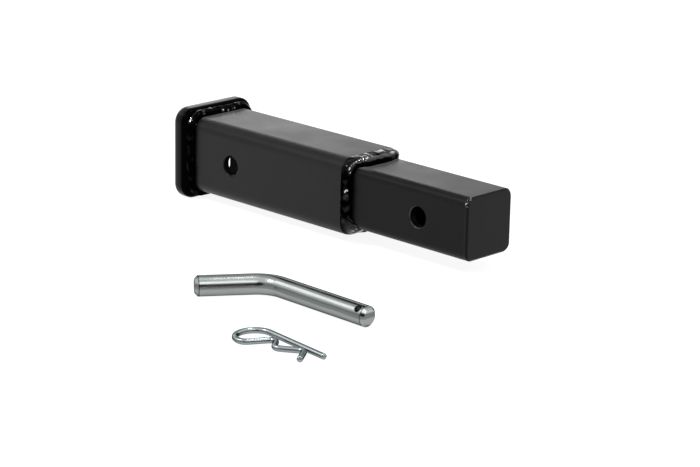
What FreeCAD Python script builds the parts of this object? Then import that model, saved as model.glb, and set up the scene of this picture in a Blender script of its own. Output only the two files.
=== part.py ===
import FreeCAD, Part
import math
import os
import Sketcher
from FreeCAD import Vector

# Hitch receiver extender: a square receiver tube with a reinforcing collar round its mouth,
# welded onto a smaller square shank with a closed end, and its bent hitch pin and hairpin
# clip lying in front of it.
# The origin is on the axis at the shank's pin hole. +X runs to the shank's closed end, the
# mouth faces -X, -Y is the near side and +Z is up. Millimetres.

SIZES = {
    # Square shank, which slides into the vehicle's own receiver
    "shank_side": 50.8,
    "shank_wall": 6.35,
    "shank_corner": 7.0,
    "shank_hollow_corner": 1.6,
    "shank_pin_to_end": 50.8,
    "shank_engagement": 50.8,
    "cap_thickness": 4.8,
    "cap_edge": 1.5,
    "cap_groove": 1.6,
    # Receiver tube, which takes the next shank
    "tube_wall": 5.85,
    "tube_corner": 10.5,
    "tube_length": 190.5,
    "socket_play": 0.5,
    "socket_corner": 4.6,
    "mouth_to_pin": 63.5,
    "mouth_chamfer": 1.2,
    "tube_edge": 0.6,
    "pin_spacing": 203.2,
    # Collar bent round the mouth
    "collar_thickness": 6.7,
    "collar_width": 15.9,
    "collar_corner": 12.6,
    "collar_round": 5.2,
    "collar_inner_edge": 0.8,
    # Weld beads
    "seat_gap": 0.05,
    "weld_toe_land": 0.9,
    "collar_weld_leg": 4.8,
    "step_weld_length": 8.6,
    "step_weld_inset": 0.3,
    # Bent hitch pin
    "pin_diameter": 15.875,
    "pin_play": 0.4125,
    "pin_hole_edge": 0.6,
    "pin_leg": 104.0,
    "pin_handle": 56.3,
    "pin_bend_deg": 55.0,
    "pin_bend_radius": 25.0,
    "pin_tip_chamfer": 2.3,
    "pin_clip_hole_inset": 7.0,
    "pin_clip_hole_deg": 40.0,
    "pin_end_x": 79.0,
    "pin_end_y": -158.9,
    "pin_turn_deg": 179.1,
    # Hairpin clip
    "clip_wire": 4.5,
    "clip_wire_facets": 12,
    "clip_play": 0.75,
    "clip_tip_chamfer": 0.7,
    "clip_flare_reach": 5.4,
    "clip_flare_offset": 17.6,
    "clip_touch_run": 12.3,
    "clip_touch_offset": 3.6,
    "clip_touch_bend": 4.2,
    "clip_trough_run": 16.9,
    "clip_trough_offset": 17.6,
    "clip_trough_bend": 5.0,
    "clip_hump_run": 13.1,
    "clip_hump_offset": 5.2,
    "clip_hump_bend": 4.2,
    "clip_neck_run": 9.9,
    "clip_neck_bend": 6.0,
    "clip_eye_run": 17.7,
    "clip_eye_width": 28.0,
    "clip_eye_bend": 13.5,
    "clip_tip_x": 105.5,
    "clip_tip_y": -230.5,
    "clip_turn_deg": 173.0,
}

# How closely an edge has to lie on the outline that it is picked by
EDGE_MATCH = 0.01

# Lengths that several pieces share, each worked out from the sheet
SOCKET_SIDE = "(size.shank_side + 2 * size.socket_play)"
TUBE_SIDE = f"({SOCKET_SIDE} + 2 * size.tube_wall)"
PIN_HOLE_RADIUS = "(size.pin_diameter / 2 + size.pin_play)"
MOUTH_X = "(-size.pin_spacing - size.mouth_to_pin)"
TUBE_END_X = f"({MOUTH_X} + size.tube_length)"
SHANK_LENGTH = f"(size.shank_pin_to_end - size.cap_thickness - {TUBE_END_X} + size.shank_engagement)"
SHANK_BACK_X = f"({TUBE_END_X} - size.shank_engagement)"
CAP_X = "(size.shank_pin_to_end - size.cap_thickness)"
COLLAR_BORE = f"({TUBE_SIDE} + 2 * size.seat_gap)"
COLLAR_SIDE = f"({COLLAR_BORE} + 2 * size.collar_thickness)"
FLOOR_Z = f"(-{COLLAR_SIDE} / 2)"

DOC = FreeCAD.newDocument("hitch_receiver_extender")
SHEET = DOC.addObject("Spreadsheet::Sheet", "size")
NODES = []


def fill_sheet():
    for row, (alias, number) in enumerate(SIZES.items(), start=1):
        SHEET.set(f"A{row}", alias)
        SHEET.set(f"B{row}", str(number))
        SHEET.setAlias(f"B{row}", alias)
    DOC.recompute()


def number(expression):
    found = SHEET.evalExpression(expression)
    return float(getattr(found, "Value", found))


# Bodies, sketches and features

def new_body(name, x="0", y="0", z="0", turn="0"):
    body = DOC.addObject("PartDesign::Body", name)
    body.Label = name
    body.Placement = FreeCAD.Placement(Vector(), FreeCAD.Rotation(Vector(0, 0, 1), 1))
    body.setExpression(".Placement.Base.x", x)
    body.setExpression(".Placement.Base.y", y)
    body.setExpression(".Placement.Base.z", z)
    body.setExpression(".Placement.Rotation.Angle", turn)
    NODES.append(body)
    return body


def new_sketch(body, name, role, along="0"):
    sketch = body.newObject("Sketcher::SketchObject", name)
    planes = [item for item in body.Origin.OriginFeatures if item.Role == role]
    sketch.AttachmentSupport = [(planes[0], "")]
    sketch.MapMode = "FlatFace"
    sketch.setExpression(".AttachmentOffset.Base.z", along)
    return sketch


def bind(sketch, name, constraint, expression):
    index = sketch.addConstraint(constraint)
    sketch.renameConstraint(index, name)
    sketch.setExpression(f".Constraints.{name}", expression)


def rounded_square(sketch, name, side, corner):
    half, radius = number(side) / 2, number(corner)
    reach = half - radius
    first = sketch.GeometryCount
    for quarter in range(4):
        turn = FreeCAD.Rotation(Vector(0, 0, 1), 90 * quarter)
        start = turn.multVec(Vector(-reach, -half, 0))
        end = turn.multVec(Vector(reach, -half, 0))
        centre = turn.multVec(Vector(reach, -reach, 0))
        angle = math.radians(90 * quarter - 90)
        circle = Part.Circle(centre, Vector(0, 0, 1), radius)
        sketch.addGeometry(Part.LineSegment(start, end))
        sketch.addGeometry(Part.ArcOfCircle(circle, angle, angle + math.pi / 2))
    for step in range(8):
        following = first + (step + 1) % 8
        sketch.addConstraint(Sketcher.Constraint("Tangent", first + step, 2, following, 1))
    for line, direction in zip(range(0, 8, 2), ("Horizontal", "Vertical") * 2):
        sketch.addConstraint(Sketcher.Constraint(direction, first + line))
    for arc in (3, 5, 7):
        sketch.addConstraint(Sketcher.Constraint("Equal", first + 1, first + arc))
    sketch.addConstraint(Sketcher.Constraint("Symmetric", first, 1, first + 4, 1, -1, 1))
    bind(sketch, name + "_corner", Sketcher.Constraint("Radius", first + 1, radius), corner)
    width = Sketcher.Constraint("DistanceX", first + 6, 1, first + 2, 1, 2 * half)
    height = Sketcher.Constraint("DistanceY", first, 1, first + 4, 2, 2 * half)
    bind(sketch, name + "_width", width, side)
    bind(sketch, name + "_height", height, side)


def circle_at(sketch, name, across, radius):
    centre = Vector(number(across), 0, 0)
    index = sketch.addGeometry(Part.Circle(centre, Vector(0, 0, 1), number(radius)))
    sketch.addConstraint(Sketcher.Constraint("PointOnObject", index, 3, -1))
    bind(sketch, name + "_radius", Sketcher.Constraint("Radius", index, number(radius)), radius)
    place = Sketcher.Constraint("DistanceX", -1, 1, index, 3, centre.x)
    bind(sketch, name + "_place", place, across)


def round_by_facets(sketch, facets, radius):
    """Even polygon inside a circle, near enough round for thin wire."""
    count, reach = round(number(facets)), number(radius)
    corners = [Vector(reach * math.cos(2 * math.pi * i / count),
                      reach * math.sin(2 * math.pi * i / count), 0) for i in range(count + 1)]
    for start, end in zip(corners, corners[1:]):
        sketch.addGeometry(Part.LineSegment(start, end))
    circle = sketch.addGeometry(Part.Circle(Vector(), Vector(0, 0, 1), reach), True)
    for line in range(count):
        sketch.addConstraint(Sketcher.Constraint("Coincident", line, 2, (line + 1) % count, 1))
        sketch.addConstraint(Sketcher.Constraint("PointOnObject", line, 1, circle))
    for line in range(1, count):
        sketch.addConstraint(Sketcher.Constraint("Equal", 0, line))
    sketch.addConstraint(Sketcher.Constraint("Coincident", circle, 3, -1, 1))
    sketch.addConstraint(Sketcher.Constraint("PointOnObject", 0, 1, -1))
    bind(sketch, "radius", Sketcher.Constraint("Radius", circle, reach), radius)


def pin_point(sketch, name, geometry, position, x, y):
    across = Sketcher.Constraint("DistanceX", -1, 1, geometry, position, number(x))
    upward = Sketcher.Constraint("DistanceY", -1, 1, geometry, position, number(y))
    bind(sketch, name + "_x", across, x)
    bind(sketch, name + "_y", upward, y)


def bent_line(sketch, corners):
    """Straight runs joined by tangent arcs: each corner is (x, y, bend radius)."""
    points = [Vector(number(x), number(y), 0) for x, y, bend in corners]
    run_start, joined = points[0], None
    for index in range(1, len(points) - 1):
        x, y, bend = corners[index]
        radius = number(bend)
        arriving = (points[index] - points[index - 1]).normalize()
        leaving = (points[index + 1] - points[index]).normalize()
        turn = arriving.getAngle(leaving)
        left = arriving.cross(leaving).z > 0
        reach = radius * math.tan(turn / 2)
        arc_start = points[index] - arriving * reach
        arc_end = points[index] + leaving * reach
        side = Vector(0, 0, 1 if left else -1).cross(arriving)
        centre = arc_start + side * radius
        first, last = (arc_start, arc_end) if left else (arc_end, arc_start)
        angles = [math.atan2(p.y - centre.y, p.x - centre.x) for p in (first, last)]
        if angles[1] < angles[0]:
            angles[1] += 2 * math.pi
        line = sketch.addGeometry(Part.LineSegment(run_start, arc_start))
        circle = Part.Circle(centre, Vector(0, 0, 1), radius)
        arc = sketch.addGeometry(Part.ArcOfCircle(circle, angles[0], angles[1]))
        corner = sketch.addGeometry(Part.Point(points[index]), True)
        entry, leave = (1, 2) if left else (2, 1)
        if joined:
            sketch.addConstraint(Sketcher.Constraint("Tangent", *joined, line, 1))
            sketch.addConstraint(Sketcher.Constraint("PointOnObject", corner_before, 1, line))
        else:
            pin_point(sketch, "start", line, 1, *corners[0][:2])
        sketch.addConstraint(Sketcher.Constraint("Tangent", line, 2, arc, entry))
        sketch.addConstraint(Sketcher.Constraint("PointOnObject", corner, 1, line))
        pin_point(sketch, f"corner{index}", corner, 1, x, y)
        bind(sketch, f"bend{index}", Sketcher.Constraint("Radius", arc, radius), bend)
        run_start, joined, corner_before = arc_end, (arc, leave), corner
    line = sketch.addGeometry(Part.LineSegment(run_start, points[-1]))
    sketch.addConstraint(Sketcher.Constraint("Tangent", *joined, line, 1))
    sketch.addConstraint(Sketcher.Constraint("PointOnObject", corner_before, 1, line))
    pin_point(sketch, "end", line, 2, *corners[-1][:2])


def pad(body, name, sketch, length):
    feature = body.newObject("PartDesign::Pad", name)
    feature.Profile = sketch
    feature.setExpression("Length", length)
    DOC.recompute()
    return feature


def through_pocket(body, name, sketch):
    before = body.Shape.Volume
    feature = body.newObject("PartDesign::Pocket", name)
    feature.Profile = sketch
    feature.Type = "ThroughAll"
    feature.Midplane = True
    DOC.recompute()
    if feature.Shape.Volume >= before:
        raise RuntimeError(name + " cuts nothing")
    return feature


def dress(body, kind, name, base, test, size):
    """Round or bevel the edges of a feature that pass a test."""
    chosen = [f"Edge{i}" for i, edge in enumerate(base.Shape.Edges, start=1) if test(edge)]
    if not chosen:
        raise RuntimeError(name + " finds no edges")
    feature = body.newObject("PartDesign::" + kind, name)
    feature.Base = (base, chosen)
    feature.setExpression("Radius" if kind == "Fillet" else "Size", size)
    DOC.recompute()
    return feature


def ring_edge(x, side):
    """Test for the edges of one square outline that lies across the axis at x."""
    def test(edge):
        points = [vertex.Point for vertex in edge.Vertexes]
        reach = max(max(abs(point.y), abs(point.z)) for point in points)
        level = all(abs(point.x - x) < EDGE_MATCH for point in points)
        return level and abs(reach - side / 2) < EDGE_MATCH
    return test


def hole_edge(radius, faces):
    """Test for the rims of round holes across Y on the outer faces."""
    def test(edge):
        if not isinstance(edge.Curve, Part.Circle):
            return False
        outward = abs(edge.Curve.Center.y)
        same_size = abs(edge.Curve.Radius - radius) < EDGE_MATCH
        return same_size and abs(outward - faces / 2) < EDGE_MATCH
    return test


# Pieces of the extender

def square_tube(name, x, outside, inside, length, hole_place):
    """Square tube along X with one pin hole through both side walls."""
    body = new_body(name, x=x)
    outline = new_sketch(body, name + "_outline", "YZ_Plane")
    rounded_square(outline, "outside", *outside)
    rounded_square(outline, "inside", *inside)
    pad(body, name + "_length", outline, length)
    hole = new_sketch(body, name + "_hole", "XZ_Plane")
    circle_at(hole, "hole", hole_place, PIN_HOLE_RADIUS)
    drilled = through_pocket(body, name + "_pin_hole", hole)
    rim = hole_edge(number(PIN_HOLE_RADIUS), number(outside[0]))
    return body, dress(body, "Chamfer", name + "_rim", drilled, rim, "size.pin_hole_edge")


def receiver_tube():
    outside = (TUBE_SIDE, "size.tube_corner")
    inside = (SOCKET_SIDE, "size.socket_corner")
    body, tube = square_tube(
        "receiver_tube", MOUTH_X, outside, inside, "size.tube_length", "size.mouth_to_pin")
    mouth = dress(body, "Chamfer", "mouth_lead_in", tube,
                  ring_edge(0, number(SOCKET_SIDE)), "size.mouth_chamfer")
    ends = ring_edge(number("size.tube_length"), number(TUBE_SIDE))
    dress(body, "Chamfer", "tube_end_edge", mouth, ends, "size.tube_edge")


def receiver_collar():
    """Bent bar with a half-round outer face, lying round the tube flush with its mouth."""
    body = new_body("receiver_collar", x=MOUTH_X)
    outline = new_sketch(body, "collar_outline", "YZ_Plane")
    rounded_square(outline, "outside", COLLAR_SIDE, "size.collar_corner")
    rounded_square(outline, "inside", COLLAR_BORE, "(size.tube_corner + size.seat_gap)")
    bar = pad(body, "collar_bar", outline, "size.collar_width")
    side, width = number(COLLAR_SIDE), number("size.collar_width")
    front, back = ring_edge(0, side), ring_edge(width, side)
    rounded = dress(body, "Fillet", "collar_round", bar,
                    lambda edge: front(edge) or back(edge), "size.collar_round")
    inner = ring_edge(0, number(COLLAR_BORE))
    dress(body, "Chamfer", "collar_inner_edge", rounded, inner, "size.collar_inner_edge")


def shank_tube():
    outside = ("size.shank_side", "size.shank_corner")
    inside = ("(size.shank_side - 2 * size.shank_wall)", "size.shank_hollow_corner")
    square_tube("shank_tube", SHANK_BACK_X, outside, inside, SHANK_LENGTH, f"(-{SHANK_BACK_X})")


def shank_end_cap():
    """Plate that closes the shank, bevelled at the back to take its weld."""
    body = new_body("shank_end_cap", x=CAP_X)
    outline = new_sketch(body, "cap_outline", "YZ_Plane")
    rounded_square(outline, "outside", "size.shank_side", "size.shank_corner")
    plate = pad(body, "cap_plate", outline, "size.cap_thickness")
    side, thickness = number("size.shank_side"), number("size.cap_thickness")
    bevelled = dress(body, "Chamfer", "cap_weld_groove", plate, ring_edge(0, side), "size.cap_groove")
    dress(body, "Chamfer", "cap_edge", bevelled, ring_edge(thickness, side), "size.cap_edge")


def weld_ring(name, x, inner, inner_corner, height, length):
    """Weld bead round a square tube, full at its start and bevelled down to its toe."""
    outer = f"({inner} + 2 * {height})"
    body = new_body(name, x=x)
    outline = new_sketch(body, name + "_outline", "YZ_Plane")
    rounded_square(outline, "outside", outer, f"({inner_corner} + {height})")
    rounded_square(outline, "inside", inner, inner_corner)
    bead = pad(body, name + "_bead", outline, length)
    toe = ring_edge(number(length), number(outer))
    bevel = f"(min({height}; {length}) - size.weld_toe_land)"
    dress(body, "Chamfer", name + "_toe", bead, toe, bevel)


def collar_weld():
    weld_ring(
        "collar_weld", f"({MOUTH_X} + size.collar_width)",
        COLLAR_BORE, "(size.tube_corner + size.seat_gap)",
        "size.collar_weld_leg", "size.collar_weld_leg")


def step_weld():
    seat = "(size.shank_side + 2 * size.seat_gap)"
    height = f"(({TUBE_SIDE} - {seat}) / 2 - size.step_weld_inset)"
    weld_ring(
        "step_weld", TUBE_END_X, seat, "(size.shank_corner + size.seat_gap)",
        height, "size.step_weld_length")


def cap_weld():
    """Weld in the bevel between the shank's end and its plate, ground flush."""
    body = new_body("cap_weld", x=CAP_X)
    outline = new_sketch(body, "cap_weld_outline", "YZ_Plane")
    rounded_square(outline, "outside", "size.shank_side", "size.shank_corner")
    filled = pad(body, "cap_weld_fill", outline, "size.cap_groove")
    root = new_sketch(body, "cap_weld_root", "YZ_Plane")
    inner = "(size.shank_side - 2 * size.cap_groove)"
    rounded_square(root, "inside", inner, "(size.shank_corner - size.cap_groove)")
    face = new_sketch(body, "cap_weld_face", "YZ_Plane", "size.cap_groove")
    rounded_square(face, "outside", "size.shank_side", "size.shank_corner")
    bevel = body.newObject("PartDesign::SubtractiveLoft", "cap_weld_bevel")
    bevel.Profile = root
    bevel.Sections = [face]
    bevel.Ruled = True
    DOC.recompute()
    if bevel.Shape.Volume >= filled.Shape.Volume:
        raise RuntimeError("cap_weld_bevel cuts nothing")


# Pin and clip, which lie on the surface in front of the extender

def hitch_pin():
    height = f"({FLOOR_Z} + size.pin_diameter / 2)"
    body = new_body("hitch_pin", "size.pin_end_x", "size.pin_end_y", height, "size.pin_turn_deg")
    path = new_sketch(body, "pin_path", "XY_Plane")
    bent_line(path, [
        ("0", "0", None),
        ("size.pin_leg", "0", "size.pin_bend_radius"),
        ("(size.pin_leg + size.pin_handle * cos(size.pin_bend_deg * 1deg))",
         "(size.pin_handle * sin(size.pin_bend_deg * 1deg))", None),
    ])
    section = new_sketch(body, "pin_section", "YZ_Plane")
    circle_at(section, "section", "0", "(size.pin_diameter / 2)")
    rod = sweep(body, "pin_rod", section, path)
    drill = new_sketch(body, "pin_drill", "XY_Plane")
    drill.AttachmentOffset = FreeCAD.Placement(Vector(), FreeCAD.Rotation(Vector(-1, 0, 0), 1))
    drill.setExpression(".AttachmentOffset.Rotation.Angle", "size.pin_clip_hole_deg")
    circle_at(drill, "hole", "size.pin_clip_hole_inset", "(size.clip_wire / 2 + size.clip_play)")
    drilled = through_pocket(body, "pin_clip_hole", drill)
    dress(body, "Chamfer", "pin_tips", drilled, end_rim(path, "size.pin_diameter"), "size.pin_tip_chamfer")


def hairpin_clip():
    height = f"({FLOOR_Z} + size.clip_wire / 2)"
    body = new_body("hairpin_clip", "size.clip_tip_x", "size.clip_tip_y", height, "size.clip_turn_deg")
    path = new_sketch(body, "clip_path", "XY_Plane")
    touch = "(size.clip_flare_reach + size.clip_touch_run)"
    trough = f"({touch} + size.clip_trough_run)"
    hump = f"({trough} + size.clip_hump_run)"
    neck = f"({hump} + size.clip_neck_run)"
    far = f"({neck} + size.clip_eye_run)"
    bent_line(path, [
        ("0", "0", None),
        (far, "0", "size.clip_eye_bend"),
        (far, "size.clip_eye_width", "size.clip_eye_bend"),
        (neck, "size.clip_eye_width", "size.clip_neck_bend"),
        (hump, "size.clip_hump_offset", "size.clip_hump_bend"),
        (trough, "size.clip_trough_offset", "size.clip_trough_bend"),
        (touch, "size.clip_touch_offset", "size.clip_touch_bend"),
        ("size.clip_flare_reach", "size.clip_flare_offset", None),
    ])
    section = new_sketch(body, "clip_section", "YZ_Plane")
    round_by_facets(section, "size.clip_wire_facets", "(size.clip_wire / 2)")
    wire = sweep(body, "clip_bent_wire", section, path)
    dress(body, "Chamfer", "clip_tips", wire, end_rim(path, "size.clip_wire"), "size.clip_tip_chamfer")


def sweep(body, name, section, path):
    feature = body.newObject("PartDesign::AdditivePipe", name)
    feature.Profile = section
    feature.Spine = (path, [f"Edge{i + 1}" for i in range(len(path.Shape.Edges))])
    DOC.recompute()
    return feature


def end_rim(path, diameter):
    """Test for the edges round the two cut ends of a bar swept along a path."""
    along = path.Shape.Wires[0].OrderedVertexes
    ends = [along[0].Point, along[-1].Point]
    reach = number(diameter) / 2 + EDGE_MATCH

    def test(edge):
        points = [vertex.Point for vertex in edge.Vertexes]
        return any(max(point.distanceToPoint(end) for point in points) < reach for end in ends)
    return test


def check_document():
    for item in DOC.Objects:
        if "Invalid" in item.State or "Error" in item.State:
            raise RuntimeError(item.Name + " failed")
    for body in NODES:
        if body.Shape.isNull() or not body.Shape.isValid() or len(body.Shape.Solids) != 1:
            raise RuntimeError(body.Label + " is not one valid solid")


def write_parts():
    os.makedirs("parts", exist_ok=True)
    for body in NODES:
        body.Shape.exportStep(f"parts/{body.Label}.step")
        box = body.Shape.BoundBox
        print(f"{body.Label}: volume {body.Shape.Volume:.0f}, x {box.XMin:.1f} to {box.XMax:.1f},"
              f" y {box.YMin:.1f} to {box.YMax:.1f}, z {box.ZMin:.1f} to {box.ZMax:.1f}")


def main():
    fill_sheet()
    receiver_tube()
    receiver_collar()
    shank_tube()
    shank_end_cap()
    collar_weld()
    step_weld()
    cap_weld()
    hitch_pin()
    hairpin_clip()
    DOC.recompute()
    check_document()
    write_parts()


main()
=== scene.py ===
import bpy
import bmesh
import math
from mathutils import Matrix, Vector, noise


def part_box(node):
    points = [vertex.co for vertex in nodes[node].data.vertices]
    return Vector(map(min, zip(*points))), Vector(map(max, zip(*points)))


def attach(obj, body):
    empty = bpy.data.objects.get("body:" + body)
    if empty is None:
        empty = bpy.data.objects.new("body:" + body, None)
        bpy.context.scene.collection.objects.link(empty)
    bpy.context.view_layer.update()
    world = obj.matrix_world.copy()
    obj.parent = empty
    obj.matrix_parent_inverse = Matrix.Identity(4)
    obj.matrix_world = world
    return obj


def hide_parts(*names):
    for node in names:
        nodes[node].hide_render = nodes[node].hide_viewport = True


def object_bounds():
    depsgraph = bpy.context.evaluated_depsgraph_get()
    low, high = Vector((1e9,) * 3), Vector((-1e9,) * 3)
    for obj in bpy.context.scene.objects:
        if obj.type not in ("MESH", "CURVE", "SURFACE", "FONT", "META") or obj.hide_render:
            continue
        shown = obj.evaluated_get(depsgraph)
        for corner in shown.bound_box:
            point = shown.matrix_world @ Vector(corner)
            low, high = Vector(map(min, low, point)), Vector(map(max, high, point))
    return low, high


# A black hitch receiver extender with its zinc plated bent pin and hairpin clip in front of it.
# Metres from the middle of the shank's pin hole.
# +X runs to the shank's closed end, -Y is the near side and +Z is up.

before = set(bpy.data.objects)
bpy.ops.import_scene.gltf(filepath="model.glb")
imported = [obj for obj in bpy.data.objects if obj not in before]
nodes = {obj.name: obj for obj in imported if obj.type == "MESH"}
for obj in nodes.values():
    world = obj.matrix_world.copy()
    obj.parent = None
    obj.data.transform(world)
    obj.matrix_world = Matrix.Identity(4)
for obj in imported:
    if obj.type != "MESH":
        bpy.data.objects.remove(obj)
cad_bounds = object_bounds()
mm = 0.001

TUBE_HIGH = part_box("receiver_tube")[1]
SHANK_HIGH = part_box("shank_tube")[1]
COLLAR_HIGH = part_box("receiver_collar")[1]
TUBE_HALF, TUBE_CORNER = TUBE_HIGH.y, 10.5 * mm
SHANK_HALF, SHANK_CORNER = SHANK_HIGH.y, 7.0 * mm

CLIP_WIRE = 4.5 * mm
CLIP_TIP = Vector((105.5, -230.5)) * mm
CLIP_HEADING = math.radians(173)
CLIP_SPACING = 0.6 * mm
CLIP_SIDES = 40
# Corners of the clip's route from its tip, in its own plane: along, across, radius of the bend
CLIP_CORNERS = [
    (0, 0, 0), (75.3, 0, 13.5), (75.3, 28.0, 13.5), (57.6, 28.0, 6.0),
    (47.7, 5.2, 4.2), (34.6, 17.6, 5.0), (17.7, 3.6, 4.2), (5.4, 17.6, 0),
]

PIN_TIP = Vector((79.0, -158.9)) * mm
PIN_HEADING = math.radians(179.1)
PIN_LEG = 104 * mm
PIN_BEND = math.radians(55)
PIN_BEND_RADIUS = 25 * mm


# Material building blocks

class Shader:
    """A material's node tree, with short calls for the nodes used here."""

    def __init__(self, name):
        self.material = bpy.data.materials.new(name)
        self.material.use_nodes = True
        self.tree = self.material.node_tree
        self.surface = self.tree.nodes["Principled BSDF"]

    def node(self, kind, **settings):
        made = self.tree.nodes.new(kind)
        for key, value in settings.items():
            setattr(made, key, value)
        return made

    def link(self, start, end):
        self.tree.links.new(start, end)

    def give(self, **sockets):
        """Values or node outputs for the surface, with _ for a blank in a socket's name."""
        for name, value in sockets.items():
            socket = self.surface.inputs[name.replace("_", " ")]
            if isinstance(value, (int, float, tuple)):
                socket.default_value = value
            else:
                self.link(value, socket)

    def place(self, attribute=None, stretch=(1, 1, 1)):
        """Coordinates of the surface, from the object or from a stored attribute."""
        if attribute:
            source = self.node("ShaderNodeAttribute", attribute_name=attribute).outputs["Vector"]
        else:
            source = self.node("ShaderNodeTexCoord").outputs["Object"]
        mapping = self.node("ShaderNodeMapping")
        mapping.inputs["Scale"].default_value = stretch
        self.link(source, mapping.inputs["Vector"])
        return mapping.outputs["Vector"]

    def noise(self, place, grain, detail=2.0, rough=0.5):
        """Noise whose features are about one grain (in metres) across."""
        made = self.node("ShaderNodeTexNoise")
        made.inputs["Scale"].default_value = 1 / grain
        made.inputs["Detail"].default_value = detail
        made.inputs["Roughness"].default_value = rough
        self.link(place, made.inputs["Vector"])
        return made.outputs["Fac"]

    def range(self, value, low, high, start=0.3, end=0.7):
        made = self.node("ShaderNodeMapRange")
        for name, number in (("From Min", start), ("From Max", end), ("To Min", low), ("To Max", high)):
            made.inputs[name].default_value = number
        self.link(value, made.inputs["Value"])
        return made.outputs["Result"]

    def blend(self, factor, first, second):
        """Mix of two colours, each a grey or tinted triple or a socket."""
        made = self.node("ShaderNodeMix", data_type="RGBA")
        self.link(factor, made.inputs["Factor"])
        for socket, colour in ((made.inputs[6], first), (made.inputs[7], second)):
            if isinstance(colour, tuple):
                socket.default_value = (*colour, 1)
            else:
                self.link(colour, socket)
        return made.outputs[2]

    def math(self, operation, *values):
        """Result of a math node on sockets and plain numbers."""
        made = self.node("ShaderNodeMath", operation=operation)
        for socket, value in zip(made.inputs, values):
            if isinstance(value, (int, float)):
                socket.default_value = value
            else:
                self.link(value, socket)
        return made.outputs[0]

    def part(self, vector, axis):
        parts = self.node("ShaderNodeSeparateXYZ")
        self.link(vector, parts.inputs["Vector"])
        return parts.outputs[axis]

    def ramp(self, value, stops):
        """Greys at the stops, each a place from 0 to 1 and a level."""
        made = self.node("ShaderNodeValToRGB")
        elements = made.color_ramp.elements
        for place, level in stops[1:-1]:
            elements.new(place)
        for element, (place, level) in zip(elements, stops):
            element.position, element.color = place, (*grey(level), 1)
        self.link(value, made.inputs["Fac"])
        return made.outputs["Color"]

    def bump(self, height, depth, strength, under=None):
        made = self.node("ShaderNodeBump")
        made.inputs["Distance"].default_value = depth
        made.inputs["Strength"].default_value = strength
        self.link(height, made.inputs["Height"])
        if under:
            self.link(under, made.inputs["Normal"])
        return made.outputs["Normal"]


def grey(level):
    return (level, level, level)


# Powder coat

DARKER, LIGHTER = 0.8, 1.25
# Painted sheen: lighter grey painted on top beside a weld in place of reflected light; its width, its
# grey, and how far below the top it starts and is full
PAINTED_SHEEN_WIDTH, PAINTED_SHEEN_SHADE = 13 * mm, 0.11
PAINTED_SHEEN_LOW, PAINTED_SHEEN_HIGH = 1.5 * mm, 0.2 * mm
MATT_WIDTH, MATT_SHARE = 8 * mm, 0.03
INSIDE_WIDTH = 0.2 * mm
RIM_WIDTH, RIM_REFLECT = 0.1 * mm, 0.55
BEVEL_CORE, BEVEL_EDGE = 0.1, 0.25
ROUGH_SPREAD = 0.03


def film_colour(coat, place, film, shade, painted_sheen):
    """Shade of the film, darker and lighter in places, with a painted sheen of lighter grey on top beside
    a weld.
    """
    base = coat.blend(coat.range(film, 0, 1), grey(DARKER * shade), grey(LIGHTER * shade))
    if painted_sheen:
        toe, top = painted_sheen
        # Painted sheen: the top side turns lighter grey near the weld's end, fading away from it
        fading = coat.range(coat.part(place, "X"), 1, 0, toe, toe + PAINTED_SHEEN_WIDTH)
        on_top = coat.range(coat.part(place, "Z"), 0, 1, top - PAINTED_SHEEN_LOW, top - PAINTED_SHEEN_HIGH)
        base = coat.blend(coat.math("MULTIPLY", fading, on_top), base, grey(PAINTED_SHEEN_SHADE))
    return base


def film_roughness(coat, place, film, rough, rougher):
    """Roughness of the film, with what is added to it between two places along X."""
    roughness = coat.range(film, rough - ROUGH_SPREAD, rough + ROUGH_SPREAD)
    if rougher:
        (start, less), (end, more) = rougher
        added = coat.range(coat.part(place, "X"), less, more, start, end)
        roughness = coat.math("ADD", roughness, added)
    return roughness


def film_shares(coat, place, reflect, matt_from=None, bevel=None, inside=None, rim=None):
    """What the matt and the worn places reflect, as shares of the film's specular level."""
    shares = []
    if matt_from:
        shares.append(coat.range(coat.part(place, "X"), 1, MATT_SHARE, matt_from, matt_from + MATT_WIDTH))
    if bevel:
        axis, slant, share = bevel
        facing = coat.part(coat.node("ShaderNodeTexCoord").outputs["Normal"], axis)
        off = coat.math("ABSOLUTE", coat.math("SUBTRACT", coat.math("ABSOLUTE", facing), slant))
        shares.append(coat.range(off, share, 1, BEVEL_CORE, BEVEL_EDGE))
    if inside:
        sizes = [coat.math("ABSOLUTE", coat.part(place, axis)) for axis in "YZ"]
        size = coat.math("MAXIMUM", *sizes)
        shares.append(coat.range(size, MATT_SHARE, 1, inside, inside + INSIDE_WIDTH))
    if rim:
        reach = coat.node("ShaderNodeVectorMath", operation="LENGTH")
        coat.link(coat.place(stretch=(1, 0, 1)), reach.inputs[0])
        shares.append(coat.range(reach.outputs["Value"], RIM_REFLECT / reflect, 1, rim, rim + RIM_WIDTH))
    return shares


def powder_coat(name, shade, reflect, rough, painted_sheen=None, rougher=None, **places):
    """Satin black powder coat: slight orange peel, fine grit and uneven film.

    A painted sheen gives the end of a weld along X and the height of the top side: lighter grey is
    painted on top beside the weld.
    Rougher gives two places along X and what is added to the roughness at each of them.
    From matt_from along X the film grows matt.
    A bevel gives an axis, how far towards it a slanting face looks, and the share it reflects.
    Closer to the tube's axis than inside, the coat is thin and matt.
    A rim is the radius round the origin's hole within which the coat is worn bright.
    """
    coat = Shader(name)
    place = coat.place()
    film = coat.noise(place, 28 * mm, detail=3)
    peel = coat.noise(place, 1.3 * mm)
    grit = coat.noise(place, 0.28 * mm, detail=1)
    level = reflect
    for share in film_shares(coat, place, reflect, **places):
        level = coat.math("MULTIPLY", share, level)
    peeled = coat.bump(peel, 0.02 * mm, 0.35)
    coat.give(Base_Color=film_colour(coat, place, film, shade, painted_sheen),
              Roughness=film_roughness(coat, place, film, rough, rougher),
              Specular_IOR_Level=level, Normal=coat.bump(grit, 0.006 * mm, 0.3, peeled))
    return coat.material


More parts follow.
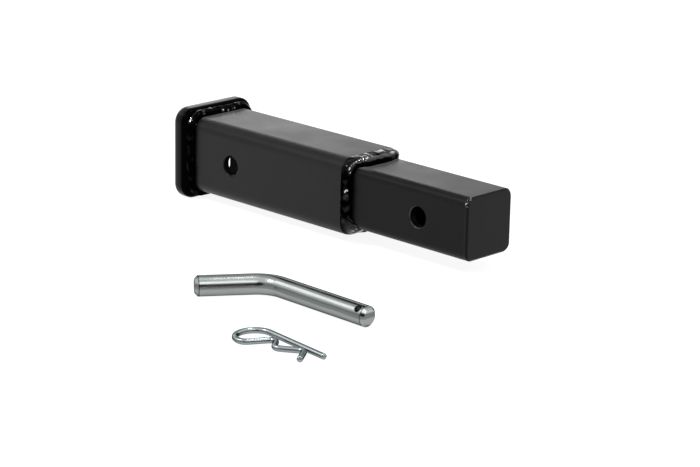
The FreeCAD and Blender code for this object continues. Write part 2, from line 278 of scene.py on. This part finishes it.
def weld_coat(name):
    """The same coat on the welds: black and smooth, with painted glints of bright metal where its stored
    gloss is high.
    """
    coat = Shader(name)
    place = coat.place()
    pull = coat.noise(place, 2.6 * mm, detail=3)
    grit = coat.noise(place, 0.5 * mm)
    gloss_and_glint = coat.node("ShaderNodeAttribute", attribute_name="gloss_and_glint").outputs["Fac"]
    # Painted glints: where the stored gloss is high the weld turns to bright metal that shows the white
    # backdrop as a highlight
    glint_share = coat.range(gloss_and_glint, 0, 1, 1.2, 1.6)
    black = coat.blend(coat.range(pull, 0, 1), grey(0.0005), grey(0.0015))
    glint_colour = coat.blend(grit, grey(0.45), grey(0.9))
    coat.give(Base_Color=coat.blend(glint_share, black, glint_colour), Roughness=coat.range(grit, 0.04, 0.08),
              Specular_IOR_Level=coat.range(gloss_and_glint, 0.002, 0.55, 0, 1), Metallic=glint_share,
              Normal=coat.bump(pull, 0.05 * mm, 0.25))
    return coat.material


# Zinc plate

# Height on a bar, in radii from its axis, and the share of painted highlight there against painted shade:
# a painted dark band just above the axis, painted bright bands with thin dark lines higher up
ZINC_PAINTED_BANDS = [
    (-1.0, 0.5), (-0.15, 0.5), (0.0, 0.08), (0.36, 0.05), (0.5, 0.85), (0.575, 1.0), (0.6, 0.55),
    (0.625, 1.0), (0.68, 0.6), (0.7, 1.0), (0.76, 0.95), (0.88, 0.4),
]
# Zinc tone in painted shade and in painted highlight, as multiples of the zinc's own tone
DULL_AND_SHADED_ZINC, PAINTED_HIGHLIGHT_ZINC = 0.45, 1.7
# Dark ring at a turned edge: share of its span in from the bar's end, and how dark it is there
RING_SPAN = 5 * mm
RING_STOPS = [(0.0, 0.0), (0.42, 0.0), (0.48, 0.8), (0.58, 0.8), (0.66, 0.0)]
RING_SHADE = 0.03


def painted_light_bands(zinc, along, streak, tone, radius):
    """Colour of the zinc, with painted highlight and painted shade in strips by height on the bar, dull
    in the deepest streaks.
    """
    height = zinc.math("ADD", zinc.range(zinc.part(along, "Z"), 0, 1, -radius, radius),
                       zinc.range(streak, -0.02, 0.02))
    strips = zinc.ramp(height, [((up + 1) / 2, share) for up, share in ZINC_PAINTED_BANDS])
    dull_and_shaded = tuple(DULL_AND_SHADED_ZINC * value for value in tone)
    bright = tuple(PAINTED_HIGHLIGHT_ZINC * value for value in tone)
    return zinc.blend(zinc.range(streak, 0, 0.3), zinc.blend(strips, dull_and_shaded, bright), dull_and_shaded)


def zinc_plate(name, tone, rough, radius, length=None):
    """Bright zinc over drawn steel: long fine streaks, with painted highlights and painted shade in bands
    along its flanks.

    With a length given, a dark ring marks the turned edge at either end, and the zinc grows
    duller past the bend.
    """
    zinc = Shader(name)
    along = zinc.place("straight", (0.03, 1, 1))
    cloud = zinc.place("straight", (0.35, 1, 1))
    streak = zinc.noise(along, 0.55 * mm, detail=4, rough=0.65)
    fine = zinc.noise(along, 0.16 * mm, detail=2)
    patch = zinc.noise(cloud, 5 * mm, detail=3)
    base = painted_light_bands(zinc, along, streak, tone, radius)
    roughness = zinc.range(patch, rough - 0.05, rough + 0.08)
    if length:
        station = zinc.part(zinc.place("straight"), "X")
        near_end = zinc.math("PINGPONG", station, length / 2)
        ring = zinc.ramp(zinc.range(near_end, 0, 1, 0, RING_SPAN), RING_STOPS)
        base = zinc.blend(ring, base, grey(RING_SHADE))
        duller = zinc.range(station, 0, 0.09, 0.55 * length, 0.66 * length)
        roughness = zinc.math("ADD", roughness, duller)
    brushed = zinc.bump(streak, 0.03 * mm, 0.5)
    zinc.give(Base_Color=base, Roughness=roughness, Metallic=1.0, Specular_Tint=(0.2, 0.2, 0.2, 1),
              Normal=zinc.bump(fine, 0.008 * mm, 0.4, brushed))
    return zinc.material


TUBE_COAT = powder_coat(
    "tube_coat", 0.0075, 0.19, 0.36, painted_sheen=(-246 * mm, TUBE_HIGH.z),
    rougher=((-210 * mm, -0.02), (-80 * mm, 0.065)), bevel=("Z", 0.75, 0.6), inside=26.5 * mm)
COLLAR_COAT = powder_coat("collar_coat", 0.001, 0.22, 0.26, matt_from=-263 * mm)
SHANK_COAT = powder_coat(
    "shank_coat", 0.005, 0.117, 0.35, painted_sheen=(-63 * mm, SHANK_HIGH.z), bevel=("Z", 0.75, 0.7),
    rim=8.9 * mm)
CAP_COAT = powder_coat("cap_coat", 0.0091, 0.13, 0.36, bevel=("X", 0.5, MATT_SHARE))
WELD_COAT = weld_coat("weld_coat")
CLIP_ZINC = zinc_plate("clip_zinc", (0.27, 0.3, 0.305), 0.19, CLIP_WIRE / 2)


# Pieces

def dress(node, material):
    """Gives a CAD node its coat."""
    for material_slot in nodes[node].material_slots:
        material_slot.material = material


def add_object(name, data):
    made = bpy.data.objects.new(name, data)
    bpy.context.scene.collection.objects.link(made)
    return made


def finish_piece(name, mesh, material, replaced):
    """A smooth mesh becomes a piece of the part, in place of a CAD node if one is named."""
    mesh.materials.clear()
    mesh.materials.append(material)
    for polygon in mesh.polygons:
        polygon.use_smooth = True
    piece = add_object(name, mesh)
    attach(piece, "root")
    if replaced:
        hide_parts(replaced)


def to_mesh(name, bm):
    mesh = bpy.data.meshes.new(name)
    bm.to_mesh(mesh)
    bm.free()
    return mesh


def join_rings(bm, rings):
    """Faces between neighbouring rings of points, each ring closed on itself."""
    for near, far in zip(rings, rings[1:]):
        for i in range(len(near)):
            k = (i + 1) % len(near)
            bm.faces.new((near[i], near[k], far[k], far[i]))


def store_gloss_and_glint(mesh, values):
    mesh.attributes.new("gloss_and_glint", "FLOAT", "POINT").data.foreach_set("value", values)


def store_straight(mesh, values):
    attribute = mesh.attributes.new("straight", "FLOAT_VECTOR", "POINT")
    attribute.data.foreach_set("vector", [number for value in values for number in value])


# Weld beads

BEAD_STEP = 0.36 * mm
BEAD_SPANS = 30
BEAD_SINK = 0.3 * mm
LEG_WAVER, HEIGHT_WAVER, RIPPLE_DRIFT = 0.06, 0.08, 0.55
BAND_EDGE, BAND_WARP = 0.06, 0.08
STEP_PROUD = 0.3 * mm
# Length of a bead's curved face as a share of its leg and its height together
FACE_SHARE = 0.8
# Radii from a drop's middle at which it has faded to nothing
DROP_REACH = 3

# Distances round a bead, legs, radii and rises are in mm
# Profile stations are: distance round the bead, leg, power of the curve
# Each drop or crater is: distance round the bead and share across it, radius, rise, hollow, shine (its
# gloss, high enough on most for a painted glint)
STEP_BEAD = {
    "seat": TUBE_HIGH.x, "half": SHANK_HALF, "corner": SHANK_CORNER,
    "height": TUBE_HALF - SHANK_HALF + STEP_PROUD,
    "profile": [
        (0.0, 12.0, 0.7), (3.0, 13.4, 0.65), (29.0, 13.6, 0.6), (37.0, 11.6, 0.6),
        (48.0, 3.0, 0.6), (58.0, 3.0, 0.7), (75.0, 7.0, 0.8), (120.0, 8.6, 0.9),
        (135.0, 12.0, 1.8), (140.0, 12.0, 1.8), (147.5, 6.3, 0.8), (180.0, 6.3, 0.8),
        (186.0, 8.0, 0.8), (192.0, 12.0, 0.7),
    ],
    "pitch": 3.4 * mm, "ripple": 0.03 * mm, "lumps": 0.45 * mm, "wander": 1.7,
    "band": (0.3, 0.62), "shine": 0.9, "film": 0.22,
    "spatter": [
        (29.0, 0.95, 1.0, 0.25, False, 2.2), (26.5, 0.96, 0.8, 0.15, False, 1.7),
        (23.5, 0.95, 0.8, 0.15, False, 1.3), (12.0, 0.97, 1.0, 0.25, False, 1.6),
        (11.5, 0.66, 0.7, 0.35, False, 2.4), (11.0, 0.76, 0.6, 0.3, False, 1.8),
        (7.0, 0.83, 0.9, 0.3, False, 1.9), (6.5, 0.66, 1.0, 0.4, False, 2.4),
        (4.5, 0.6, 1.0, 0.4, False, 2.3), (3.5, 0.8, 0.9, 0.3, False, 2.0),
        (2.0, 0.66, 0.7, 0.3, False, 2.2), (0.0, 0.62, 0.6, 0.2, False, 1.6),
        (190.0, 0.55, 0.5, 0.2, False, 1.4), (188.6, 0.51, 0.5, 0.2, False, 1.6),
        (187.2, 0.5, 0.5, 0.2, False, 1.4), (185.8, 0.53, 0.5, 0.2, False, 1.2),
        (184.0, 0.5, 0.8, 0.4, False, 2.2), (182.3, 0.3, 0.9, 0.4, False, 2.0),
        (167.8, 0.5, 1.2, 0.6, True, 2.4), (163.0, 0.48, 1.7, 0.25, True, 0.6),
        (2.5, 1.0, 0.7, 0.15, False, 1.0), (190.0, 1.0, 0.7, 0.15, False, 0.9),
        (187.5, 0.85, 3.0, 0.0, False, 0.35), (34.0, 0.55, 3.8, 0.0, False, 0.75),
        (139.0, 0.45, 4.0, 0.1, False, 0.7), (138.0, 0.25, 1.0, 0.25, False, 1.3),
        (140.5, 0.2, 0.8, 0.25, False, 1.0), (136.0, 0.5, 1.5, 0.3, True, 0.9),
        (144.0, 0.75, 1.5, 0.1, False, 0.5),
    ],
}
COLLAR_BEAD = {
    "seat": COLLAR_HIGH.x, "half": TUBE_HALF, "corner": TUBE_CORNER,
    "height": 5.0 * mm, "profile": [(0.0, 5.2, 0.8), (236.0, 5.2, 0.8)],
    "pitch": 3.0 * mm, "ripple": 0.05 * mm, "lumps": 0.5 * mm, "wander": 8.2,
    "band": (0.45, 0.6), "shine": 0.05, "film": 0.06,
    "spatter": [
        (9.5, 0.95, 1.0, 0.4, False, 2.4), (227.2, 0.95, 0.8, 0.4, False, 2.2),
        (225.4, 0.93, 0.9, 0.4, False, 2.3), (228.8, 0.98, 0.5, 0.1, False, 1.1),
        (230.2, 0.97, 0.5, 0.1, False, 1.2), (231.6, 0.96, 0.5, 0.1, False, 1.2),
        (233.0, 0.95, 0.5, 0.1, False, 1.2), (234.6, 0.93, 0.6, 0.1, False, 1.25),
        (0.0, 0.88, 0.6, 0.2, False, 1.2), (0.3, 0.6, 0.6, 0.2, False, 1.5),
        (235.5, 0.3, 0.8, 0.2, False, 1.5), (20.5, 0.23, 1.2, 0.4, False, 2.4),
        (26.0, 0.12, 1.0, 0.4, False, 2.2), (31.0, 0.2, 0.7, 0.2, False, 1.2),
        (33.5, 0.23, 0.8, 0.4, False, 1.9), (38.5, 0.7, 1.5, 0.4, True, 0.7),
        (225.0, 0.06, 0.8, 0.3, False, 1.9),
    ],
}


def ring_length(half, corner):
    """Distance once round a rounded square."""
    return 8 * (half - corner) + 2 * math.pi * corner


def ring_point(distance, half, corner):
    """Point and outward direction (y, z) at a distance round a rounded square."""
    flat, bend = 2 * (half - corner), math.pi * corner / 2
    quarter, rest = divmod(distance % ring_length(half, corner), flat + bend)
    turn = Matrix.Rotation(-math.pi / 2 * quarter, 2)
    if rest < flat:
        point, outward = Vector((-half + corner + rest, half)), Vector((0, 1))
    else:
        angle = (rest - flat) / corner
        outward = Vector((math.sin(angle), math.cos(angle)))
        point = Vector((half - corner, half - corner)) + corner * outward
    return turn @ point, turn @ outward


def scallop(turns):
    """Height of a row of overlapping ripples, 0 in the seams and 1 on the crowns."""
    part = turns % 1.0
    return 1 - (2 * part - 1) ** 2


def smooth(low, high, value):
    """Eased share of the way from low to high, also where low is the larger."""
    share = min(1.0, max(0.0, (value - low) / (high - low)))
    return share * share * (3 - 2 * share)


def profile(look, distance):
    """Leg and power of a bead's profile, eased between the stations listed round it."""
    for start, end in zip(look["profile"], look["profile"][1:]):
        if distance / mm <= end[0]:
            share = smooth(start[0], end[0], distance / mm)
            return [first + (last - first) * share for first, last in zip(start[1:], end[1:])]


def spatter(look, distance, share, length, girth):
    """Height and gloss that the drops and craters near a place on a bead add to it; the gloss makes
    painted glints.
    """
    height = gloss_and_glint = 0.0
    for place, across, radius, rise, hollow, shine in look["spatter"]:
        along = (distance / mm - place + length / mm / 2) % (length / mm) - length / mm / 2
        side = (share - across) * girth / mm
        near = (along ** 2 + side ** 2) / radius ** 2
        if near < DROP_REACH ** 2:
            form = near * math.exp(1 - near) if hollow else math.exp(-near)
            height += rise * form * mm
            # A crater's painted glint falls on one side of it only, as if lit from there
            painted_lit_side = smooth(-0.6, 0.3, (0.8 * along + 0.6 * side) / radius) if hollow else 1.0
            gloss_and_glint += shine * form * painted_lit_side
    return height, gloss_and_glint


def bead_relief(look, distance, share, drift, place):
    """Height of the ripples and lumps on a bead, none at its toes."""
    crescent = 0.45 * (2 * share - 1) ** 2
    ripple = scallop(distance / look["pitch"] + drift - crescent)
    lump = noise.noise(place) + 0.25 * noise.noise(place * 4.1)
    edge = math.sin(math.pi * share) ** 0.5
    return edge * (look["ripple"] * (ripple - 0.5) + look["lumps"] * lump)


def bead_film(look, distance, share, upward, place):
    """Gloss of the film on a bead: a band along its crest on top, and patches on its sides."""
    low, high = look["band"]
    warp = BAND_WARP * noise.noise(Vector((distance / (5 * mm), 3.0, look["wander"])))
    crest = share + warp
    band = (smooth(low - BAND_EDGE, low + BAND_EDGE, crest)
            * smooth(high + BAND_EDGE, high - BAND_EDGE, crest))
    patches = smooth(0.05, 0.5, noise.noise(place * 1.9)) * (1 - 0.9 * upward)
    return look["shine"] * band * upward ** 2 + look["film"] * patches


def bead_ring(look, distance, length):
    """Points round a bead's section, over its face and back underneath, with their gloss."""
    seat = look["seat"]
    point, outward = ring_point(distance, look["half"], look["corner"])
    heading = 2 * math.pi * distance / length
    wave = Vector((math.cos(heading), math.sin(heading), look["wander"]))
    leg, power = profile(look, distance)
    leg *= mm * (1 + LEG_WAVER * noise.noise(wave * 3.1))
    tall = look["height"] * (1 + HEIGHT_WAVER * noise.noise(wave * 4.3))
    drift = RIPPLE_DRIFT * noise.noise(wave * 7)
    points, gloss_and_glint = [(seat + leg, *(point - outward * BEAD_SINK))], [0.0]
    for j in range(BEAD_SPANS + 1):
        share = j / BEAD_SPANS
        angle = share * math.pi / 2
        place = Vector((distance / (8 * mm), share * 1.4, look["wander"]))
        drops, bright = spatter(look, distance, share, length, (leg + tall) * FACE_SHARE)
        raised = bead_relief(look, distance, share, drift, place) + drops
        x = seat + leg * math.cos(angle) ** power + raised * math.cos(angle)
        out = tall * math.sin(angle) ** power + raised * math.sin(angle)
        points.append((x, *(point + outward * out)))
        broken = 0.85 + 0.5 * noise.noise(place * 9)
        film = bead_film(look, distance, share, max(0.0, outward.y), place)
        gloss_and_glint.append(film + bright * broken)
    points.append((seat - BEAD_SINK, *(point + outward * tall)))
    points.append((seat - BEAD_SINK, *(point - outward * BEAD_SINK)))
    return points, [*gloss_and_glint, 0.0, 0.0]


def weld_bead(name, look, replaced):
    """Smooth bead with ripples and spatter in the angle between a face and a square tube."""
    length = ring_length(look["half"], look["corner"])
    around = round(length / BEAD_STEP)
    bm = bmesh.new()
    rings, gloss_and_glint = [], []
    for i in range(around):
        points, shine = bead_ring(look, length * i / around, length)
        rings.append([bm.verts.new(point) for point in points])
        gloss_and_glint += shine
    join_rings(bm, [*rings, rings[0]])
    bmesh.ops.recalc_face_normals(bm, faces=bm.faces)
    mesh = to_mesh(name, bm)
    store_gloss_and_glint(mesh, gloss_and_glint)
    finish_piece(name, mesh, WELD_COAT, replaced)


# Drops on the end plate's corner: degrees round the corner, place along X and radius in mm
CAP_DROPS = (
    (18, 49.2, 1.1), (33, 49.7, 0.9), (45, 48.9, 1.4), (58, 49.5, 1.0),
    (70, 48.8, 1.3), (84, 49.4, 0.9), (97, 48.9, 0.8),
)
CAP_DROP_SINK = 1.0 * mm
CAP_DROP_STRETCH = (0.9, 1.25, 1.25, 1)


def cap_drops():
    """Short run of weld left standing on the end plate's near top corner."""
    bm = bmesh.new()
    reach = SHANK_CORNER - CAP_DROP_SINK
    middle = SHANK_HALF - SHANK_CORNER
    for degrees, x, radius in CAP_DROPS:
        angle = math.radians(degrees)
        centre = (x * mm, -middle - reach * math.sin(angle), middle + reach * math.cos(angle))
        place = Matrix.Translation(centre) @ Matrix.Diagonal(CAP_DROP_STRETCH)
        bmesh.ops.create_icosphere(bm, subdivisions=3, radius=radius * mm, matrix=place)
    for vertex in bm.verts:
        vertex.co += vertex.normal * 0.12 * mm * noise.noise(vertex.co / (1.1 * mm))
    mesh = to_mesh("cap_drops", bm)
    # Painted glints: the drops' stored gloss is high enough in most places to show as bright metal
    store_gloss_and_glint(mesh, [1.0 + 1.5 * noise.noise(vertex.co / (1.4 * mm)) for vertex in mesh.vertices])
    finish_piece("cap_drops", mesh, WELD_COAT, None)


# Pin and clip, each with the bar's straightened coordinates stored for its streaks

def turned(angle, point):
    """Point or direction in a plane, turned about the plane's origin."""
    return Matrix.Rotation(angle, 2) @ Vector(point)


def straightened(x, y):
    """Distance along the pin and offset across it of a point in the pin's own plane."""
    reach = PIN_BEND_RADIUS * math.tan(PIN_BEND / 2)
    centre = Vector((PIN_LEG - reach, PIN_BEND_RADIUS))
    out = Vector((x, y)) - centre
    angle = math.atan2(out.x, -out.y)
    if out.x <= 0 or angle <= 0:
        return x, y
    if angle < PIN_BEND:
        return centre.x + angle * PIN_BEND_RADIUS, PIN_BEND_RADIUS - out.length
    local = turned(-PIN_BEND, out)
    return centre.x + PIN_BEND * PIN_BEND_RADIUS + local.x, local.y + PIN_BEND_RADIUS


def pin_piece():
    """The CAD pin in a zinc whose streaks follow its bend."""
    mesh = nodes["hitch_pin"].data.copy()
    low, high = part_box("hitch_pin")
    axis_height = (low.z + high.z) / 2
    straight = []
    for vertex in mesh.vertices:
        x, y = turned(-PIN_HEADING, vertex.co.xy - PIN_TIP)
        straight.append((*straightened(x, y), vertex.co.z - axis_height))
    store_straight(mesh, straight)
    length = max(place[0] for place in straight)
    zinc = zinc_plate("pin_zinc", (0.275, 0.295, 0.285), 0.13, (high.z - low.z) / 2, length)
    finish_piece("bent_pin", mesh, zinc, "hitch_pin")


def straight_run(start, end, travelled, spacing):
    """Points, headings and distances along a straight run, without its end."""
    run = end - start
    steps = max(1, round(run.length / (4 * spacing)))
    shares = [step / steps for step in range(steps)]
    return [(start + run * share, run.normalized(), travelled + run.length * share) for share in shares]


def arc_run(start, heading, turn, radius, travelled, spacing):
    """Points, headings and distances along an arc that turns the heading, without its end."""
    centre = start + turned(math.copysign(math.pi / 2, turn), heading) * radius
    steps = max(2, round(abs(turn) * radius / spacing))
    angles = [turn * step / steps for step in range(steps)]
    return [(centre + turned(angle, start - centre), turned(angle, heading),
             travelled + abs(angle) * radius) for angle in angles]


def bent_route(corners, spacing):
    """Points, headings and distances along straight runs joined by tangent arcs."""
    points = [Vector(corner[:2]) * mm for corner in corners]
    stations, travelled, start = [], 0.0, points[0]
    for before, corner, after, bend in zip(points, points[1:], points[2:], corners[1:]):
        arriving = (corner - before).normalized()
        leaving = (after - corner).normalized()
        turn = -arriving.angle_signed(leaving)
        radius = bend[2] * mm
        reach = radius * math.tan(abs(turn) / 2)
        arc_start = corner - arriving * reach
        stations += straight_run(start, arc_start, travelled, spacing)
        travelled += (arc_start - start).length
        stations += arc_run(arc_start, arriving, turn, radius, travelled, spacing)
        travelled += abs(turn) * radius
        start = corner + leaving * reach
    stations += straight_run(start, points[-1], travelled, spacing)
    stations.append((points[-1], leaving, travelled + (points[-1] - start).length))
    return stations


# Depth of a cut end's rounding along the wire and across it, and the places of its rings
CUT_DEPTH, CUT_BEVEL = 0.7 * mm, 0.6 * mm
CUT_RINGS = (0.0, 0.12, 0.3, 0.55, 1.0)


def wire_end(spot, heading, distance, radius, inward):
    """Stations and radii of a rounded cut end, from the cut inward."""
    rings = []
    for share in CUT_RINGS:
        inset = CUT_DEPTH * share * inward
        rings.append((spot + heading * inset, heading, distance + inset,
                      radius - CUT_BEVEL * (1 - share) ** 2))
    return rings


def wire_ring(spot, heading, distance, radius, axis_height):
    """Points round the clip's wire, and the same points with the wire laid straight."""
    side = turned(math.pi / 2, heading)
    points, straight = [], []
    for i in range(CLIP_SIDES):
        angle = 2 * math.pi * i / CLIP_SIDES
        across, up = radius * math.cos(angle), radius * math.sin(angle)
        flat = CLIP_TIP + turned(CLIP_HEADING, spot + side * across)
        points.append((*flat, axis_height + up))
        straight.append((distance, across, up))
    return points, straight


def clip_piece():
    """Round wire swept along the clip's route, with rounded cut ends."""
    radius = CLIP_WIRE / 2
    axis_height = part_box("hairpin_clip")[0].z + radius
    stations = bent_route(CLIP_CORNERS, CLIP_SPACING)
    middle = [(*station, radius) for station in stations[1:-1]]
    ends = wire_end(*stations[0], radius, 1), wire_end(*stations[-1], radius, -1)
    bm = bmesh.new()
    rings, straight = [], []
    for station in (*ends[0], *middle, *reversed(ends[1])):
        points, laid = wire_ring(*station, axis_height)
        rings.append([bm.verts.new(point) for point in points])
        straight += laid
    join_rings(bm, rings)
    bm.faces.new(list(reversed(rings[0])))
    bm.faces.new(rings[-1])
    bmesh.ops.recalc_face_normals(bm, faces=bm.faces)
    mesh = to_mesh("wire_clip", bm)
    store_straight(mesh, straight)
    finish_piece("wire_clip", mesh, CLIP_ZINC, "hairpin_clip")


# Studio

FLOOR_SIZE = 30.0
FLOOR_GLOW = 0.9
SKY_LIGHT = 0.4
LOOK_AT = Vector((-0.06, -0.05, 0.0))


def seen_directly(tree, low, high):
    """High for camera, glossy and transmission rays, which see the bright backdrop, else low."""
    path = tree.nodes.new("ShaderNodeLightPath")
    total = path.outputs["Is Camera Ray"]
    for ray in ("Is Glossy Ray", "Is Transmission Ray"):
        adding = tree.nodes.new("ShaderNodeMath")
        adding.operation = "MAXIMUM"
        tree.links.new(total, adding.inputs[0])
        tree.links.new(path.outputs[ray], adding.inputs[1])
        total = adding.outputs[0]
    strength = tree.nodes.new("ShaderNodeMapRange")
    strength.inputs["To Min"].default_value = low
    strength.inputs["To Max"].default_value = high
    tree.links.new(total, strength.inputs["Value"])
    return strength.outputs["Result"]


def card(name, size, material):
    """Flat square of one material."""
    bm = bmesh.new()
    bmesh.ops.create_grid(bm, x_segments=1, y_segments=1, size=size / 2)
    mesh = to_mesh(name, bm)
    mesh.materials.append(material)
    return add_object(name, mesh)


def pale_floor():
    """Paper that glows white to the camera and keeps a faint shadow under the part."""
    paper = Shader("floor_paper")
    fibre = paper.noise(paper.place(), 60 * mm, detail=4)
    paper.give(Base_Color=paper.blend(paper.range(fibre, 0, 1), grey(0.34), grey(0.36)),
               Roughness=0.9, Specular_IOR_Level=0.0, Emission_Color=(1, 1, 1, 1),
               Emission_Strength=seen_directly(paper.tree, 0, FLOOR_GLOW))
    floor = card("studio_floor", FLOOR_SIZE, paper.material)
    floor.location = (0, 0, cad_bounds[0][2])


def white_world():
    """White backdrop for the camera and for reflections, dimmer as a light."""
    world = bpy.data.worlds.new("studio_world")
    world.use_nodes = True
    bpy.context.scene.world = world
    tree = world.node_tree
    background = tree.nodes["Background"]
    background.inputs["Color"].default_value = (1, 1, 1, 1)
    tree.links.new(seen_directly(tree, SKY_LIGHT, 1.0), background.inputs["Strength"])


def aim(thing, place):
    """Puts a lamp or a card at a place, facing the part."""
    thing.location = place
    thing.rotation_euler = (LOOK_AT - Vector(place)).to_track_quat("-Z", "Y").to_euler()


def soft_lamp(name, place, size, power):
    """Softbox of a width and a height in metres and a power in watts."""
    lamp = bpy.data.lights.new(name, "AREA")
    lamp.shape = "RECTANGLE"
    lamp.size, lamp.size_y = size
    lamp.energy = power
    aim(add_object(name, lamp), place)


def flag_cloth(name, dark, light):
    """Matt woven cloth between two greys."""
    cloth = Shader(name)
    weave = cloth.noise(cloth.place(), 4 * mm)
    cloth.give(Base_Color=cloth.blend(weave, grey(dark), grey(light)), Roughness=1.0,
               Specular_IOR_Level=0.0)
    return cloth.material


def dark_flag(name, place, size, material):
    """Dark card beside the lamps, seen only as a reflection."""
    flag = card(name, 1.0, material)
    flag.scale = (*size, 1)
    aim(flag, place)
    flag.visible_camera = False
    flag.visible_diffuse = False
    flag.visible_shadow = False
    flag.visible_transmission = False


def studio_camera():
    """The photograph's camera: its turn round the part, height, roll, distance and offsets."""
    azimuth, elevation, roll = (math.radians(angle) for angle in (44.14, 16.78, 1.16))
    focal_pixels, image_pixels = 2540.5, 700
    target = Vector((-0.269, 0, 0))
    across, down, away = -122.4 * mm, -75.3 * mm, 2141.3 * mm
    back = Vector((math.sin(azimuth) * math.cos(elevation),
                   -math.cos(azimuth) * math.cos(elevation), math.sin(elevation)))
    level = Vector((math.cos(azimuth), math.sin(azimuth), 0))
    raised = back.cross(level)
    right = math.cos(roll) * level + math.sin(roll) * raised
    up = -math.sin(roll) * level + math.cos(roll) * raised
    camera = bpy.data.cameras.new("camera")
    camera.sensor_width = 36
    camera.lens = camera.sensor_width * focal_pixels / image_pixels
    shot = add_object("camera", camera)
    turn = Matrix((right, up, back)).transposed().to_4x4()
    shot.matrix_world = Matrix.Translation(target + back * away - right * across + up * down) @ turn
    bpy.context.scene.camera = shot


weld_bead("step_bead", STEP_BEAD, "step_weld")
weld_bead("collar_bead", COLLAR_BEAD, "collar_weld")
cap_drops()
pin_piece()
clip_piece()
dress("receiver_tube", TUBE_COAT)
dress("receiver_collar", COLLAR_COAT)
dress("shank_tube", SHANK_COAT)
dress("shank_end_cap", CAP_COAT)
dress("cap_weld", SHANK_COAT)

pale_floor()
white_world()
black_cloth = flag_cloth("black_cloth", 0.004, 0.008)
grey_cloth = flag_cloth("grey_cloth", 0.2, 0.25)
dark_flag("studio_flag_near", (1.75, -1.85, 0.8), (2.6, 1.5), black_cloth)
dark_flag("studio_flag_high", (-1.2, 0.53, 1.1), (0.6, 0.5), grey_cloth)
soft_lamp("key", (-0.6, -1.0, 1.2), (0.12, 0.2), 9)
soft_lamp("fill", (1.1, -0.6, 1.1), (1.0, 0.9), 4.0)
soft_lamp("top", (0.0, 0.3, 1.5), (0.15, 0.15), 6)
soft_lamp("back", (-1.74, 0.87, 0.75), (1.6, 0.5), 5)
soft_lamp("strip", (-1.2, -0.75, 1.05), (0.7, 0.45), 1.25)
studio_camera()
bpy.context.scene.view_settings.view_transform = "Standard"
